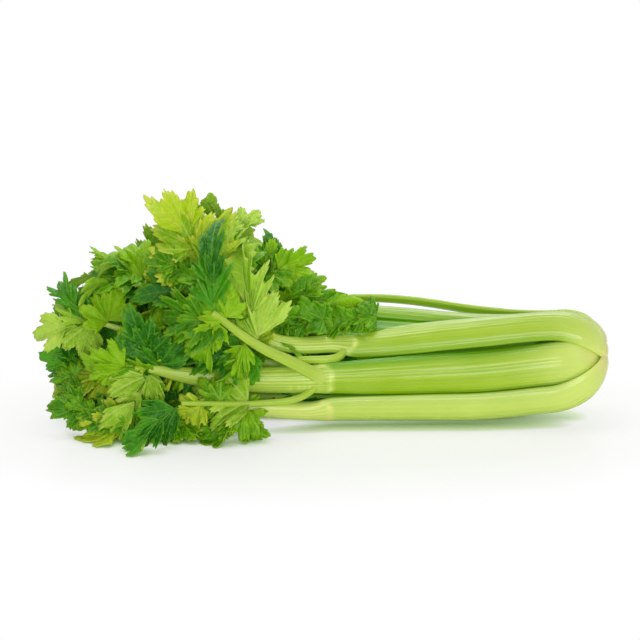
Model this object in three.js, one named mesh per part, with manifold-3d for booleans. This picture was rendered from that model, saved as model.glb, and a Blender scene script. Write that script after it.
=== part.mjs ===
// A head of celery lying on its side: stalks joined at a root crown, each dividing at its node into stems
// that carry lobed leaflets. Millimetres; +X points to the cut root face, -Y is the front, +Z is up.
import * as THREE from "three";
import { LoftGeometry } from "three/addons/geometries/LoftGeometry.js";
import { mergeVertices } from "three/addons/utils/BufferGeometryUtils.js";
import Module from "manifold-3d";

const wasm = await Module();
wasm.setup();

// Driving dimensions
const rootEnd = 223; // the cut root face, from the middle of the head's length
const rootFaceRadius = 10;
const axisHeight = 43; // the bundle's axis above the table
const axisRise = 8; // how much higher the axis lies at the root
const riseLength = 115; // over which the axis rises
const domeLength = 37; // over which the stalks round inwards to the root
const domeFullness = 2.3; // 2 rounds them as an ellipse, more makes the root end blunter
const bundleRadius = 36; // from the axis to the middle of an outer stalk's thickness
const baseRadius = 9; // the stalks' bases start round this much of the root
const tableGrip = 5; // leaflets bend to lie flat in this height above the table
const leafletSpread = 1.15; // half the angle that most leaflets fan out over, radians
const leafletThickness = 1;
const bladeStart = 1.5; // where a blade begins, from the end of its stem
const gap = 0.3; // left between neighbouring pieces
const stemSides = 6;
const stemTaper = 1.5; // stems keep their girth at first and thin towards the tip

const degrees = THREE.MathUtils.degToRad;
const mix = THREE.MathUtils.lerp;
const ease = (t) => THREE.MathUtils.smoothstep(t, 0, 1);
const point = (p) => new THREE.Vector3(...p);

const finish = (color, roughness) => new THREE.MeshStandardMaterial({ color, roughness, metalness: 0 });
const stalkSkin = finish(0x9cc63f, 0.4);
const heartSkin = finish(0xc3d872, 0.42);
const rootSkin = finish(0xe2dcae, 0.6);
const leafTones = {
  dark: finish(0x2f7a1c, 0.5),
  green: finish(0x4f9a1e, 0.5),
  light: finish(0x86bb3e, 0.5),
  yellow: finish(0xa9c23a, 0.5),
};

// The twelve stalks. turn: degrees round the axis from the front towards the top, at the root, the belly
// and the node. layer: distance from the axis, as a share of the bundle's radius. start: where the base
// begins, from the root face. node: where the stalk divides, [x, distance from the axis]. rachis: the main
// stem's route from there. stem: the rachis' half-width at its two ends. waist: the stalk's width at its
// node, as a share of the belly's. arch: how far the belly bows outwards.
const outer = { halfWidth: 15.5, halfThickness: 4.6, layer: 1, start: 2, stem: [7.2, 2.6], waist: 0.8, arch: 0,
  sides: 12, skin: stalkSkin };
const heart = { halfWidth: 9, halfThickness: 3.2, layer: 0.48, start: 32, stem: [4.2, 1.8], waist: 0.8, arch: 0,
  sides: 8, skin: heartSkin };
const stalks = [
  { ...outer, name: "stalk_top_front", turn: [24, 60, 48], node: [20, 30], layer: 1.04, stem: [7.6, 2.8],
    arch: 6, rachis: [[-30, -30, 67], [-64, -35, 86], [-88, -36, 124]] },
  { ...outer, name: "stalk_bottom_front", turn: [-8, -45, -43], node: [1, 43], layer: 1.17, halfWidth: 18.5,
    stem: [8.4, 3], rachis: [[-58, -44, 19], [-96, -46, 15], [-128, -50, 13]] },
  { ...outer, name: "stalk_front", turn: [4, 5, -3], node: [2, 37], layer: 0.97, start: 8, halfWidth: 18.5,
    waist: 0.66, stem: [11, 3.2], rachis: [[-58, -38, 41], [-100, -46, 46], [-130, -54, 54]] },
  { ...outer, name: "stalk_arched", turn: [122, 140, 128], node: [2, 56], layer: 1.16, halfWidth: 4.8, arch: 7,
    halfThickness: 3, stem: [3.6, 2], rachis: [[-30, 46, 88], [-56, 46, 108], [-76, 42, 134]] },
  { ...outer, name: "stalk_top_back", turn: [80, 104, 101], node: [10, 42], layer: 0.86, halfWidth: 15,
    halfThickness: 5.4,
    rachis: [[-18, 20, 80], [-36, 14, 96], [-46, 6, 115]] },
  { ...outer, name: "stalk_back", turn: [160, 168, 170], node: [6, 42], layer: 0.97,
    rachis: [[-48, 54, 50], [-98, 60, 70], [-132, 60, 92]] },
  { ...outer, name: "stalk_bottom_back", turn: [-150, -145, -142], node: [0, 45],
    rachis: [[-50, 50, 21], [-96, 58, 17], [-134, 62, 15]] },
  { ...outer, name: "stalk_bottom", turn: [-90, -98, -94], node: [4, 39.2], layer: 1.12,
    rachis: [[-50, 4, 13], [-104, 4, 17], [-152, 2, 22]] },
  { ...heart, name: "heart_stalk_top", turn: [70, 70, 72], node: [-10, 37], layer: 0.86, halfWidth: 13,
    rachis: [[-60, -6, 74], [-112, -8, 94], [-142, -10, 114]] },
  { ...heart, name: "heart_stalk_front", turn: [-15, -15, -10], node: [-14, 19],
    rachis: [[-70, -16, 56], [-130, -22, 70], [-178, -22, 84]] },
  { ...heart, name: "heart_stalk_bottom", turn: [-105, -105, -100], node: [-12, 26.5], layer: 0.68,
    rachis: [[-60, 0, 19], [-116, -8, 36], [-160, -18, 42]] },
  { ...heart, name: "heart_stalk_back", turn: [165, 165, 165], node: [-8, 20],
    rachis: [[-62, 24, 62], [-116, 26, 80], [-158, 22, 98]] },
];

// The sprays. route: a side stem's way from its stalk's node; a spray without one is carried by the rachis.
// face: the way the leaflets' upper sides look. leaflets: [where on the stem from 0 to 1, aim: degrees in
// the front view from +X towards +Z, lean: degrees towards the front, length, tone, and what sets its shape
// apart, if anything: spread and fold].
const sprays = [
  { name: "front_upper", stalk: "stalk_front", face: [0.1, -1, 0.35], radius: [5, 2.6],
    route: [[-25, -54, 60], [-49, -64, 75], [-80, -76, 102]],
    leaflets: [[0.62, 103, -4, 78, "light", { spread: 0.75 }],
      [0.74, 250, 8, 43, "green", { spread: 0.7, fold: 0.5 }],
      [1, 86, 6, 66, "dark", { spread: 0.5, fold: 0.5 }],
      [0.96, 252, 14, 42, "green", { spread: 0.65, fold: 0.6 }], [0.9, 172, 0, 50, "green"]] },
  { name: "front_lower", stalk: "stalk_front", face: [-0.2, -1, 0.5], radius: [3, 1.8],
    route: [[-16, -46, 29], [-50, -56, 27], [-104, -76, 33]],
    leaflets: [[0.66, 160, 8, 62, "light", { spread: 0.8 }], [0.7, 218, 26, 52, "green", { spread: 0.9 }],
      [1, 214, 26, 60, "dark", { spread: 0.62, fold: 0.4 }]] },
  { name: "front_middle", stalk: "stalk_front", face: [-0.4, -1, 0.3],
    leaflets: [[0.97, 236, 30, 58, "light", { spread: 0.75, fold: 0.6 }], [0.88, 118, 22, 54, "dark"],
      [1, 176, 14, 52, "green"]] },
  { name: "top_front", stalk: "stalk_top_front", face: [-0.2, -0.8, 0.6],
    leaflets: [[1, 112, 8, 68, "yellow"], [0.92, 86, -16, 62, "light"], [0.84, 166, 24, 60, "dark"],
      [0.86, 60, -8, 50, "green"], [0.42, 0, -28, 42, "green"]] },
  { name: "top_side", stalk: "stalk_top_front", face: [-0.2, -1, 0.4], radius: [3.6, 2],
    route: [[13, -31, 57], [-8, -36, 56], [-34, -38, 58.5], [-66, -52, 82]],
    leaflets: [[1, 128, -10, 56, "green"], [0.9, 190, 12, 54, "dark"]] },
  { name: "top_back", stalk: "stalk_top_back", face: [0.3, -0.7, 0.7],
    leaflets: [[1, 16, 0, 40, "green"], [0.96, 84, -20, 36, "dark"], [0.62, -12, 28, 66, "green"]] },
  { name: "arched", stalk: "stalk_arched", face: [0.1, 0.3, 0.9],
    leaflets: [[1, 112, -8, 50, "green"], [0.82, -15, -24, 44, "green"], [0.8, 190, -22, 50, "dark"],
      [0.96, 60, -30, 40, "light"]] },
  { name: "bottom_front", stalk: "stalk_bottom_front", face: [0, -0.7, 0.8],
    leaflets: [[0.42, -33, 46, 40, "green"], [0.78, 226, 52, 46, "green"], [1, 186, 22, 60, "yellow"]] },
  { name: "heart_top", stalk: "heart_stalk_top", face: [-0.3, -0.3, 0.9],
    leaflets: [[1, 140, 4, 36, "green"], [0.98, 178, 20, 46, "light"], [0.86, 138, -34, 52, "dark"]] },
  { name: "heart_front", stalk: "heart_stalk_front", face: [-0.5, -0.8, 0.5],
    leaflets: [[1, 134, 0, 46, "dark", { spread: 0.6 }], [0.97, 186, 18, 48, "light"]] },
  { name: "heart_bottom", stalk: "heart_stalk_bottom", face: [-0.8, -0.5, 0.3],
    leaflets: [[1, 184, 8, 54, "yellow"], [0.9, 216, 20, 48, "green"]] },
  { name: "heart_back", stalk: "heart_stalk_back", face: [-0.3, 0.2, 0.9],
    leaflets: [[1, 158, -10, 44, "light"], [0.94, 116, -20, 50, "green"], [0.9, 204, -24, 48, "green"]] },
  { name: "back", stalk: "stalk_back", face: [-0.1, 1, 0.4],
    leaflets: [[1, 160, -12, 58, "green"], [0.94, 96, -16, 60, "light"], [0.8, 236, -22, 56, "dark"],
      [0.62, 70, -22, 56, "green"]] },
  { name: "bottom_back", stalk: "stalk_bottom_back", face: [0, 0.8, 0.6],
    leaflets: [[1, 178, -20, 60, "yellow"], [0.8, 215, -56, 46, "green"], [0.52, -20, -48, 44, "dark"]] },
  { name: "bottom", stalk: "stalk_bottom", face: [-0.5, 0.1, 0.8],
    leaflets: [[1, 178, 4, 54, "green"], [0.9, 168, -52, 50, "light"]] },
];

// A number from -1 to 1 that differs from leaflet to leaflet.
function vary(leaflet, trait) {
  const s = Math.sin(leaflet * 12.9898 + trait * 78.233) * 43758.5453;
  return 2 * (s - Math.floor(s)) - 1;
}

// A point at distance back from the root face, away from the head's axis, turned round it from the front.
function roundAxis(back, away, turn) {
  const height = axisHeight + axisRise * (1 - ease(back / riseLength));
  return new THREE.Vector3(rootEnd - back, -away * Math.cos(turn), height + away * Math.sin(turn));
}

// A loft's cross-section: an ellipse bent round the inside of the bundle by the angle `bend` to each side.
function section({ at, out, side, halfWidth, halfThickness, bend }, sides) {
  const hollow = halfWidth / Math.max(bend, 0.05);
  return Array.from({ length: sides }, (_, j) => {
    const psi = (2 * Math.PI * j) / sides;
    const around = (halfWidth * Math.cos(psi)) / hollow;
    const away = hollow + halfThickness * Math.sin(psi);
    return at
      .clone()
      .addScaledVector(out, away * Math.cos(around) - hollow)
      .addScaledVector(side, away * Math.sin(around));
  });
}

// Sets each station's own axes, square to the path: out from the bundle and sideways, which is carried on
// from the station before where a station states none.
function framed(stations) {
  let side = stations[0].side;
  return stations.map((s, i) => {
    const before = stations[Math.max(i - 1, 0)].at;
    const after = stations[Math.min(i + 1, stations.length - 1)].at;
    const along = after.clone().sub(before).normalize();
    side = (s.side ?? side).clone();
    side.addScaledVector(along, -side.dot(along)).normalize();
    return { ...s, side, out: side.clone().cross(along) };
  });
}

function stemStations(curve, from, to, radius, count) {
  return Array.from({ length: count }, (_, i) => {
    const t = mix(from, to, i / (count - 1));
    const r = mix(...radius, t ** stemTaper);
    return { at: curve.getPoint(t), halfWidth: r, halfThickness: 0.8 * r, bend: 0 };
  });
}

const nodeOf = (s) => roundAxis(rootEnd - s.node[0], s.node[1], degrees(s.turn[2]));
const rachisOf = (s) => new THREE.CatmullRomCurve3([nodeOf(s), ...s.rachis.map(point)]);

// A stalk from its base at the root, over the dome, along the bundle to its node, and on as the rachis.
function stalkStations(s) {
  const layer = s.layer * bundleRadius;
  const domeEnd = s.start + domeLength;
  const run = rootEnd - s.node[0] - domeEnd;
  const dome = [0.02, 0.1, 0.28, 0.58, 1].map((share) => {
    const round = (1 - (1 - share) ** domeFullness) ** (1 / domeFullness);
    return {
      back: s.start + share * domeLength,
      away: mix(baseRadius, layer, round),
      turn: mix(s.turn[0], s.turn[1], Math.sqrt(share)),
      wide: mix(0.4, 1, round),
      thick: mix(0.6, 1, share),
      bend: mix(0.45, 0.9, share),
    };
  });
  const belly = [0.25, 0.5, 0.75, 0.96].map((t) => ({
    back: domeEnd + run * t,
    away: mix(layer, s.node[1], ease(t)) + s.arch * Math.sin(Math.PI * t),
    turn: mix(s.turn[1], s.turn[2], ease(t)),
    wide: mix(1, s.waist, t ** 2.5),
    thick: 1,
    bend: mix(0.9, 0.5, t),
  }));
  const petiole = [...dome, ...belly].map((p) => ({
    at: roundAxis(p.back, p.away, degrees(p.turn)),
    side: new THREE.Vector3(0, Math.sin(degrees(p.turn)), Math.cos(degrees(p.turn))),
    halfWidth: s.halfWidth * p.wide,
    halfThickness: s.halfThickness * p.thick,
    bend: p.bend,
  }));
  return framed([...petiole, ...stemStations(rachisOf(s), 0.05, 1, s.stem, 6)]);
}

// A closed geometry as a manifold-3d solid, its shared corners merged.
function solid(geometry) {
  const bare = new THREE.BufferGeometry().setAttribute("position", geometry.attributes.position);
  const merged = mergeVertices(bare.setIndex(geometry.index), 1e-3);
  const made = new wasm.Manifold(
    new wasm.Mesh({
      numProp: 3,
      vertProperties: merged.attributes.position.array,
      triVerts: new Uint32Array(merged.index.array),
    }),
  );
  if (made.volume() < 0) throw new Error("a loft is inside out");
  return made;
}

// The stations' loft, `grow` thicker all round.
function loft(stations, sides, grow = 0) {
  const sections = stations.map((s) => {
    const grown = { ...s, halfWidth: s.halfWidth + grow, halfThickness: s.halfThickness + grow };
    return section(grown, sides).reverse();
  });
  return solid(new LoftGeometry(sections, { capStart: true, capEnd: true }));
}

// The side stem of a spray, starting inside its stalk.
function sideStem(spray, stalk) {
  const curve = new THREE.CatmullRomCurve3([nodeOf(stalk), ...spray.route.map(point)]);
  const stations = stemStations(curve, 0, 1, spray.radius, 7);
  stations[0].side = new THREE.Vector3(0, 0, 1);
  return { curve, stations: framed(stations) };
}

// How far a leaflet reaches along the ray at `across`, from -1 to 1 over the fan, as a share of its length:
// three lobes parted by two notches.
function reach(across) {
  const a = Math.abs(across);
  const envelope = 1 - 0.16 * a - 0.42 * a ** 4;
  const notch = 0.3 * Math.exp(-(((a - 0.42) / 0.09) ** 2));
  return envelope * (1 - notch);
}

// A point of a leaflet's blade: fanned out flat, folded along its midrib, cupped across, twisted and curled
// along its length, then laid on the table where it would go through. lift moves it off the middle surface.
function bladePoint(leaf, across, share, lift) {
  const ray = across * leaf.spread;
  const far = bladeStart + share * (leaf.length * reach(across) - bladeStart);
  const x = far * Math.cos(ray);
  const flat = far * Math.sin(ray);
  const roll = leaf.twist * x;
  const turn = leaf.curl * x;
  const place = (raise) => {
    const high = leaf.fold * Math.abs(flat) - leaf.cup * flat * flat + raise;
    const y = flat * Math.cos(roll) - high * Math.sin(roll);
    const z = flat * Math.sin(roll) + high * Math.cos(roll);
    const away = 1 / leaf.curl + z;
    return leaf.base
      .clone()
      .addScaledVector(leaf.forward, away * Math.sin(turn))
      .addScaledVector(leaf.side, y)
      .addScaledVector(leaf.face, away * Math.cos(turn) - 1 / leaf.curl);
  };
  const middle = place(0);
  const raised = place(lift).sub(middle);
  const lowest = 0.7 * leafletThickness;
  const low = lowest + tableGrip;
  if (middle.z < low) middle.z = lowest + tableGrip * Math.exp((middle.z - low) / tableGrip);
  return middle.add(raised);
}

// A closed sheet between two grids of points, the upper one and the one under it.
function slab(upper, under) {
  const [rows, columns] = [upper.length, upper[0].length];
  const size = rows * columns;
  const index = [];
  for (let i = 0; i < size - columns; i++) {
    if (i % columns === columns - 1) continue;
    const [a, b, c, d] = [i, i + 1, i + columns + 1, i + columns];
    index.push(a, c, b, a, d, c, a + size, b + size, c + size, a + size, c + size, d + size);
  }
  const last = size - 1;
  const loop = [
    ...Array.from({ length: columns - 1 }, (_, i) => i),
    ...Array.from({ length: rows - 1 }, (_, i) => i * columns + columns - 1),
    ...Array.from({ length: columns - 1 }, (_, i) => last - i),
    ...Array.from({ length: rows - 1 }, (_, i) => last - (columns - 1) - i * columns),
  ];
  loop.forEach((p, i) => {
    const q = loop[(i + 1) % loop.length];
    index.push(p, q, q + size, p, q + size, p + size);
  });
  return solid(new THREE.BufferGeometry().setFromPoints([...upper.flat(), ...under.flat()]).setIndex(index));
}

const raysAcross = [-1, -0.68, -0.42, -0.2, 0, 0.2, 0.42, 0.68, 1];

// A grid of points with its four edges moved straight on by `more`.
function widened(grid, more) {
  const on = (p, from) => p.clone().add(p.clone().sub(from).setLength(more));
  const rows = [...grid];
  rows[0] = grid[0].map((p, i) => on(p, grid[1][i]));
  rows[rows.length - 1] = grid.at(-1).map((p, i) => on(p, grid.at(-2)[i]));
  return rows.map((row) => [on(row[0], row[1]), ...row.slice(1, -1), on(row.at(-1), row.at(-2))]);
}

// A leaflet as a thin sheet, thinner at its edge, `grow` bigger all round.
function leafletSolid(leaf, grow = 0) {
  const rings = [[0, 0.3], [0.55, 0.5], [1, 0.2]];
  const sheet = (way) => rings.map(([share, lift]) =>
    raysAcross.map((a) => bladePoint(leaf, a, share, way * (lift * leafletThickness + grow))));
  return slab(widened(sheet(1), grow), widened(sheet(-1), grow));
}

// Where a leaflet sits and how it is bent.
function leafletOf(spray, curve, stemRadius, [at, aim, lean, length, tone, own], number) {
  const up = degrees(aim);
  const front = degrees(lean);
  const level = Math.cos(front);
  const forward = new THREE.Vector3(Math.cos(up) * level, -Math.sin(front), Math.sin(up) * level);
  const face = point(spray.face);
  face.addScaledVector(forward, -face.dot(forward)).normalize();
  face.applyAxisAngle(forward, 0.35 * vary(number, 1));
  const base = curve.getPoint(at).addScaledVector(forward, 0.6 * mix(...stemRadius, at));
  return {
    base,
    forward,
    face,
    side: face.clone().cross(forward),
    length,
    tone,
    fold: 0.28 + 0.2 * vary(number, 2),
    curl: (0.75 + 0.4 * vary(number, 3)) / length,
    cup: (0.35 + 0.3 * vary(number, 4)) / length,
    twist: (0.35 * vary(number, 5)) / length,
    spread: leafletSpread,
    ...own,
  };
}

// Pieces already in place. A later piece that would run into one of them is cut back from it.
const placed = [];
function meets(a, b) {
  return [0, 1, 2].every((k) => a.min[k] < b.max[k] + gap && b.min[k] < a.max[k] + gap);
}
function fit(made, grown) {
  const box = made.boundingBox();
  let fitted = placed.filter((p) => meets(p.box, box)).reduce((left, p) => left.subtract(p.grown), made);
  const bodies = fitted.simplify(0.04).decompose();
  fitted = bodies.reduce((best, b) => (b.volume() > best.volume() ? b : best), bodies[0]);
  placed.push({ grown, box: fitted.boundingBox() });
  return fitted;
}

// What lies below the table is pressed flat, which gives the lower stalks the face they rest on.
const tableTop = (made) => made.trimByPlane([0, 0, 1], 0);

const head = new THREE.Group();
function addPiece(name, made, material) {
  const mesh = made.getMesh();
  const geometry = new THREE.BufferGeometry();
  geometry.setAttribute("position", new THREE.BufferAttribute(mesh.vertProperties, 3));
  geometry.setIndex(new THREE.BufferAttribute(mesh.triVerts, 1));
  const piece = new THREE.Mesh(geometry, material);
  piece.name = name;
  head.add(piece);
}

// The crown: the short stem that all the stalks grow from, cut flat at the root.
function crown(grow = 0) {
  const profile = [[0, 0], [rootFaceRadius, 0], [14, 9], [19, 28], [15, 46], [0, 62]];
  const outline = profile.map(([r, back]) => new THREE.Vector2(r && r + grow, back));
  const lathe = new THREE.LatheGeometry(outline, 16);
  lathe.rotateZ(Math.PI / 2);
  lathe.translate(rootEnd, 0, axisHeight + axisRise);
  return solid(lathe);
}

addPiece("root_crown", fit(crown(), crown(gap)), rootSkin);

const stalkByName = Object.fromEntries(stalks.map((s) => [s.name, s]));
for (const stalk of stalks) {
  const build = (grow) => {
    let made = loft(stalkStations(stalk), stalk.sides, grow);
    for (const spray of sprays.filter((s) => s.stalk === stalk.name && s.route))
      made = made.add(loft(sideStem(spray, stalk).stations, stemSides, grow));
    return made;
  };
  addPiece(stalk.name, tableTop(fit(build(0), build(gap))), stalk.skin);
}

let number = 0;
for (const spray of sprays) {
  const stalk = stalkByName[spray.stalk];
  const curve = spray.route ? sideStem(spray, stalk).curve : rachisOf(stalk);
  const stemRadius = spray.route ? spray.radius : stalk.stem;
  spray.leaflets.forEach((leaflet, i) => {
    const leaf = leafletOf(spray, curve, stemRadius, leaflet, number++);
    const name = `leaflet_${spray.name}_${i + 1}`;
    addPiece(name, fit(leafletSolid(leaf), leafletSolid(leaf, gap)), leafTones[leaf.tone]);
  });
}

// The origin is under the middle of the head, on the table.
const middle = new THREE.Box3().setFromObject(head).getCenter(new THREE.Vector3());
head.position.set(-middle.x, -middle.y, 0);

export default head;
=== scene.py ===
# A head of celery lying on its side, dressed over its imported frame: +X is the root, -Y the front, +Z up.
import math
import bpy
import numpy as np
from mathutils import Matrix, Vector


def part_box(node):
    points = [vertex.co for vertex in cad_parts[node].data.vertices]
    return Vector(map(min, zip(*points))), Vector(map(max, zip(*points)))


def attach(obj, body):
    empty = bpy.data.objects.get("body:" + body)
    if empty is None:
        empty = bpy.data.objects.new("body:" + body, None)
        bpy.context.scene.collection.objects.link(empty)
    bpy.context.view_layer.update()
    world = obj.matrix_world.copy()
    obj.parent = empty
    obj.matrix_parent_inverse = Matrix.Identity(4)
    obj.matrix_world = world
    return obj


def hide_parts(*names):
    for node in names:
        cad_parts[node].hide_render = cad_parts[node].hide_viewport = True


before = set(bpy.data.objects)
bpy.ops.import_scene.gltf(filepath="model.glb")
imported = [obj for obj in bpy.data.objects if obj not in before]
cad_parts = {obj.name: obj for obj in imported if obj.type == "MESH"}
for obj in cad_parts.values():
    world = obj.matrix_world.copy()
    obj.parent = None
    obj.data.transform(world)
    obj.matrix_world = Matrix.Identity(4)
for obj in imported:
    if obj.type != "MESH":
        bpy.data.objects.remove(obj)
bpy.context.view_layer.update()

scene = bpy.context.scene
scene.view_settings.view_transform = "Standard"
mm = 0.001
print("frame loaded:", len(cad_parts), "nodes")


def easeStep(t):
    # 3t^2 - 2t^3, from 0 to 1
    t = np.clip(t, 0, 1)
    return t * t * (3 - 2 * t)


def mixValue(a, b, t):
    return a + (b - a) * t


def unitRows(v):
    return v / np.maximum(np.linalg.norm(v, axis=-1, keepdims=True), 1e-12)


def vary(number, trait):
    # a repeatable value from -1 to 1 for each piece and trait: the fraction of a large multiple of a sine
    s = math.sin(number * 12.9898 + trait * 78.233) * 43758.5453
    return 2 * (s - math.floor(s)) - 1


def waveNoise(u, v, seed, octaves=4):
    # a sum of crossed sine waves of rising frequency, with phases drawn from the seed; about -1 to 1
    finer, fainter = 1.9, 1.6
    draw = np.random.default_rng(seed)
    total = np.zeros(np.broadcast(u, v).shape)
    for k in range(octaves):
        fu, fv, pu, pv = draw.uniform(0.6, 1.4, 4) * (finer ** k)
        crossed = np.sin(fu * u + 6 * pu + 1.3 * np.sin(fv * v + 4 * pv)) * np.cos(fv * v + 5 * pu)
        total = total + crossed / (fainter ** k)
    return total / fainter


cameraSettings = {
    "lens": 86.57, "sensor": 36, "clip": (0.05, 30), "distance": 1.2, "elevation": 13.0,
    "target": (-0.003, -0.0023, 0.080)}


def makeCamera(s):
    data = bpy.data.cameras.new("camera")
    data.lens = s["lens"]
    data.sensor_width = s["sensor"]
    data.clip_start, data.clip_end = s["clip"]
    camera = bpy.data.objects.new("camera", data)
    scene.collection.objects.link(camera)
    rise = math.radians(s["elevation"])
    x, y, z = s["target"]
    camera.location = (x, y - s["distance"] * math.cos(rise), z + s["distance"] * math.sin(rise))
    camera.rotation_euler = (math.pi / 2 - rise, 0, 0)
    scene.camera = camera


makeCamera(cameraSettings)
print("camera placed")


def newNode(tree, kind, inputs=None, **fields):
    # an input that is another node's output is linked, anything else becomes the socket's value
    node = tree.nodes.new(kind)
    for key, value in fields.items():
        setattr(node, key, value)
    for key, value in (inputs or {}).items():
        if hasattr(value, "is_output"):
            tree.links.new(value, node.inputs[key])
        else:
            node.inputs[key].default_value = value
    return node


def mathNode(tree, operation, *values, clamp=False):
    node = newNode(tree, "ShaderNodeMath", dict(enumerate(values)), operation=operation, use_clamp=clamp)
    return node.outputs[0]


def times(tree, a, b, clamp=False):
    return mathNode(tree, "MULTIPLY", a, b, clamp=clamp)


def plus(tree, a, b, clamp=False):
    return mathNode(tree, "ADD", a, b, clamp=clamp)


def minus(tree, a, b):
    return mathNode(tree, "SUBTRACT", a, b)


def rampValue(tree, value, low, high, outLow=0.0, outHigh=1.0):
    # maps low..high smoothly to outLow..outHigh
    inputs = dict(enumerate((value, low, high, outLow, outHigh)))
    return newNode(tree, "ShaderNodeMapRange", inputs, interpolation_type="SMOOTHSTEP").outputs[0]


def mixColor(tree, amount, a, b):
    # a colour goes in as (red, green, blue) or as an output; 6 and 7 are the node's two colour sockets
    a, b = [value if hasattr(value, "is_output") else (*value, 1) for value in (a, b)]
    return newNode(tree, "ShaderNodeMix", {0: amount, 6: a, 7: b}, data_type="RGBA").outputs[2]


def vectorNode(tree, operation, *values, result=0):
    return newNode(tree, "ShaderNodeVectorMath", dict(enumerate(values)), operation=operation).outputs[result]


def noiseNode(tree, vector, scale, detail, roughness=0.5):
    return newNode(tree, "ShaderNodeTexNoise", {
        "Vector": vector, "Scale": scale, "Detail": detail, "Roughness": roughness}).outputs[0]


def ownPlace(tree):
    # the point in the object's own coordinates, in metres
    return newNode(tree, "ShaderNodeTexCoord").outputs["Object"]


def maskValue(tree, name):
    return newNode(tree, "ShaderNodeAttribute", attribute_name=name).outputs["Fac"]


def bumpNormal(tree, strength, distance, height):
    inputs = {"Strength": strength, "Distance": distance, "Height": height}
    return newNode(tree, "ShaderNodeBump", inputs).outputs[0]


def mixShader(tree, amount, a, b):
    return newNode(tree, "ShaderNodeMixShader", {0: amount, 1: a, 2: b}).outputs[0]


def newGroup(name, inputs, outputs):
    group = bpy.data.node_groups.new(name, "ShaderNodeTree")
    for label, kind, value in inputs:
        socket = group.interface.new_socket(name=label, in_out="INPUT", socket_type=kind)
        if value is not None:
            socket.default_value = value
    for label in outputs:
        group.interface.new_socket(name=label, in_out="OUTPUT", socket_type="NodeSocketFloat")
    return group, group.nodes.new("NodeGroupInput").outputs, group.nodes.new("NodeGroupOutput").inputs


def placeGroup(tree, group, inputs):
    return newNode(tree, "ShaderNodeGroup", inputs, node_tree=group).outputs


def newMaterial(name, surface, *values):
    # surface(tree, *values) builds the shader and gives back its output
    material = bpy.data.materials.new(name)
    material.use_nodes = True
    tree = material.node_tree
    tree.nodes.clear()
    newNode(tree, "ShaderNodeOutputMaterial", {0: surface(tree, *values)})
    return material


veinSettings = {
    "lobeEdge": 0.52,  # the share of the lobe's angle from which its own main vein counts
    "mainWidth": 0.026, "mainTaper": 0.014, "mainCore": 0.004, "slant": 0.85,
    "sideWidth": 0.013, "sideCore": 0.002, "netWidth": 0.09, "netStrength": 0.35,
    "puff": 0.45, "swell": 0.8, "mainSunk": 0.6}


# Leaf veins: main veins run from the leaflet's base along its three lobes, side veins leave them at a slant,
# and a fine net fills the rest. The pattern is worked out from the leaflet's own flat coordinates.
def makeVeinGroup(s):
    tree, gin, gout = newGroup("leafVeins", [
        ("Vector", "NodeSocketVector", None), ("Lobe Angle", "NodeSocketFloat", 0.58),
        ("Side Spacing", "NodeSocketFloat", 0.14), ("Net Scale", "NodeSocketFloat", 16.0)], ["Vein", "Quilt"])
    split = newNode(tree, "ShaderNodeSeparateXYZ", {0: gin["Vector"]})
    x = split.outputs[0]
    y = mathNode(tree, "ABSOLUTE", split.outputs[1])
    inLobe = mathNode(tree, "GREATER_THAN", mathNode(tree, "ARCTAN2", y, x),
        times(tree, gin["Lobe Angle"], s["lobeEdge"]))
    turn = times(tree, inLobe, gin["Lobe Angle"])
    cosine = mathNode(tree, "COSINE", turn)
    sine = mathNode(tree, "SINE", turn)
    along = plus(tree, times(tree, x, cosine), times(tree, y, sine))
    off = mathNode(tree, "ABSOLUTE", minus(tree, times(tree, y, cosine), times(tree, x, sine)))
    mainWidth = minus(tree, s["mainWidth"], times(tree, along, s["mainTaper"]))
    mainVein = rampValue(tree, off, mainWidth, s["mainCore"])
    slanted = minus(tree, along, times(tree, off, s["slant"]))
    wave = mathNode(tree, "PINGPONG", slanted, times(tree, gin["Side Spacing"], 0.5))
    nearMain = rampValue(tree, off, 0.36, 0.05, 0.2, 0.85)
    sideVein = times(tree, rampValue(tree, wave, s["sideWidth"], s["sideCore"]), nearMain)
    net = newNode(tree, "ShaderNodeTexVoronoi", {"Vector": gin["Vector"], "Scale": gin["Net Scale"]},
        feature="DISTANCE_TO_EDGE", voronoi_dimensions="2D").outputs["Distance"]
    netLine = rampValue(tree, net, s["netWidth"], 0.0, 0.0, s["netStrength"])
    vein = mathNode(tree, "MAXIMUM", mathNode(tree, "MAXIMUM", mainVein, sideVein), netLine)
    tree.links.new(vein, gout["Vein"])
    puff = rampValue(tree, net, 0.0, 0.35, 0.0, s["puff"])
    swell = rampValue(tree, wave, 0.0, times(tree, gin["Side Spacing"], 0.45), 0.0, s["swell"])
    quilt = minus(tree, plus(tree, puff, swell), times(tree, mainVein, s["mainSunk"]))
    tree.links.new(quilt, gout["Quilt"])
    return tree


# Fibre lines: noise drawn out along the stalk, in strands between the ribs.
def makeFibreGroup():
    tree, gin, gout = newGroup("stalkFibres", [
        ("Vector", "NodeSocketVector", None), ("Strands", "NodeSocketFloat", 26.0),
        ("Length", "NodeSocketFloat", 0.5)], ["Strand", "Cloud"])
    split = newNode(tree, "ShaderNodeSeparateXYZ", {0: gin["Vector"]})
    drawn = newNode(tree, "ShaderNodeCombineXYZ", {
        0: times(tree, split.outputs[0], gin["Strands"]), 1: times(tree, split.outputs[1], gin["Length"])})
    tree.links.new(noiseNode(tree, drawn.outputs[0], 1.0, 3.0, 0.6), gout["Strand"])
    tree.links.new(noiseNode(tree, gin["Vector"], 2.2, 2.0), gout["Cloud"])
    return tree


veinGroup = makeVeinGroup(veinSettings)
fibreGroup = makeFibreGroup()


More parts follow.
